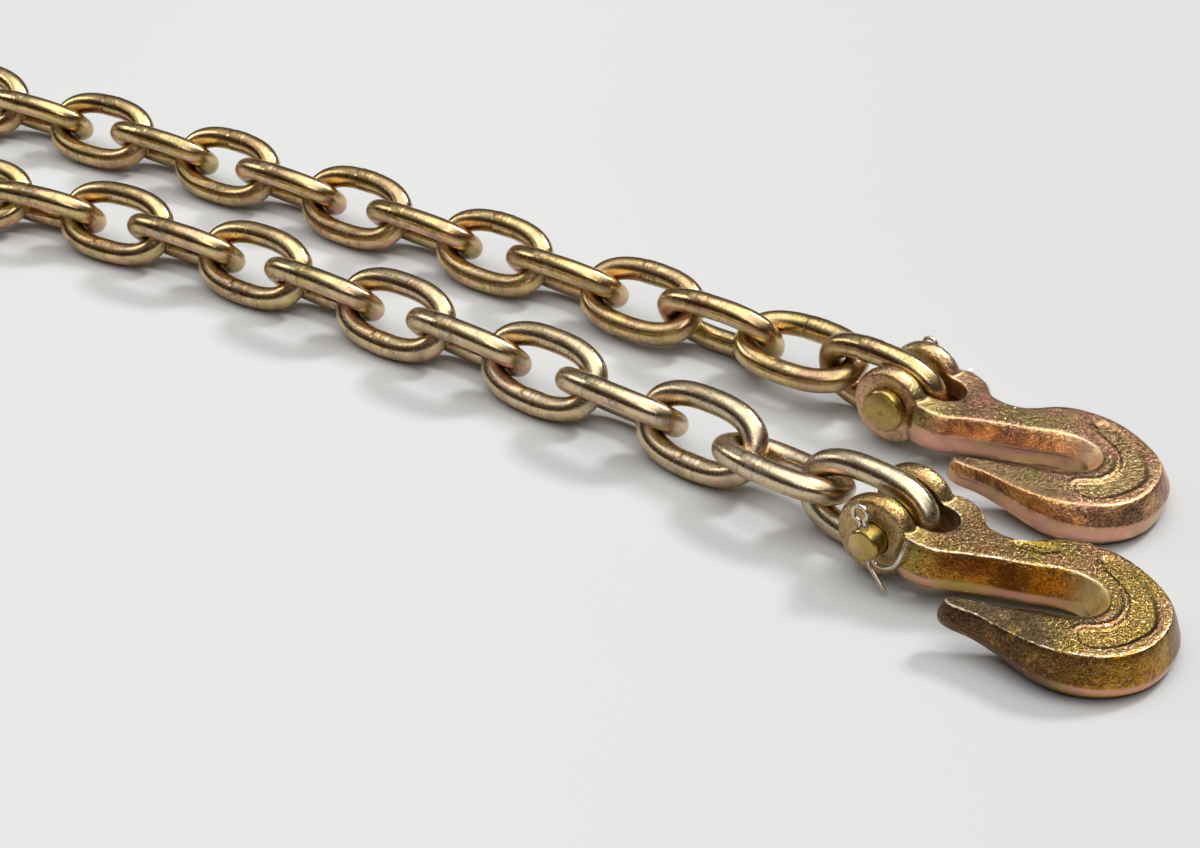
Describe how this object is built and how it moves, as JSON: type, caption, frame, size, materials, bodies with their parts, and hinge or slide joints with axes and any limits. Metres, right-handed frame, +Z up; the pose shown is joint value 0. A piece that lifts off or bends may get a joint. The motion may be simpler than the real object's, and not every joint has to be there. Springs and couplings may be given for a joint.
{
  "type": "chain",
  "caption": "Short welded steel binder chain laid double, with a clevis grab hook pinned to each end.",
  "frame": {"origin": "on the floor, under the middle of the whole laid chain", "axes": "+X along the two runs towards the hooks, +Y from the near run to the far run, +Z up"},
  "size_m": [0.8374, 0.2458, 0.0329],
  "materials": {
    "chromate_gold": "glossy yellow chromate over zinc plate",
    "chromate_copper": "satin yellow chromate over forged steel",
    "chromate_olive": "glossy olive-yellow chromate",
    "bright_steel": "bright zinc plate"
  },
  "bodies": {
    "chain": {"link_01": "chromate_gold", "link_02": "chromate_gold", "link_03": "chromate_gold", "link_04": "chromate_gold", "link_05": "chromate_gold", "link_06": "chromate_gold", "link_07": "chromate_gold", "link_08": "chromate_gold", "link_09": "chromate_gold", "link_10": "chromate_gold", "link_11": "chromate_gold", "link_12": "chromate_gold", "link_13": "chromate_gold", "link_14": "chromate_gold", "link_15": "chromate_gold", "link_16": "chromate_gold", "link_17": "chromate_gold", "link_18": "chromate_gold", "link_19": "chromate_gold", "link_20": "chromate_gold", "link_21": "chromate_gold", "link_22": "chromate_gold", "link_23": "chromate_gold", "link_24": "chromate_gold", "link_25": "chromate_gold", "link_26": "chromate_gold", "link_27": "chromate_gold", "link_28": "chromate_gold", "link_29": "chromate_gold", "link_30": "chromate_gold", "link_31": "chromate_gold", "link_32": "chromate_gold", "link_33": "chromate_gold", "link_34": "chromate_gold", "link_35": "chromate_gold", "link_36": "chromate_gold", "link_37": "chromate_gold", "link_38": "chromate_gold", "link_39": "chromate_gold", "link_40": "chromate_gold", "link_41": "chromate_gold", "link_42": "chromate_gold", "link_43": "chromate_gold", "link_44": "chromate_gold", "link_45": "chromate_gold"},
    "hook_near": {"hook_near": "chromate_copper", "pin_near": "chromate_olive", "cotter_near": "bright_steel"},
    "hook_far": {"hook_far": "chromate_copper", "pin_far": "chromate_olive", "cotter_far": "bright_steel"}
  },
  "joints": [
    {"name": "near_hook_swing", "type": "hinge", "parent": "chain", "child": "hook_near", "pos_m": [0.32056, 0.0247, 0.01655], "axis": [-0.0436, -0.999, 0], "range_deg": [0, 95]},
    {"name": "far_hook_swing", "type": "hinge", "parent": "chain", "child": "hook_far", "pos_m": [0.28338, 0.09817, 0.01655], "axis": [-0.0349, -0.9994, 0], "range_deg": [0, 95]}
  ]
}
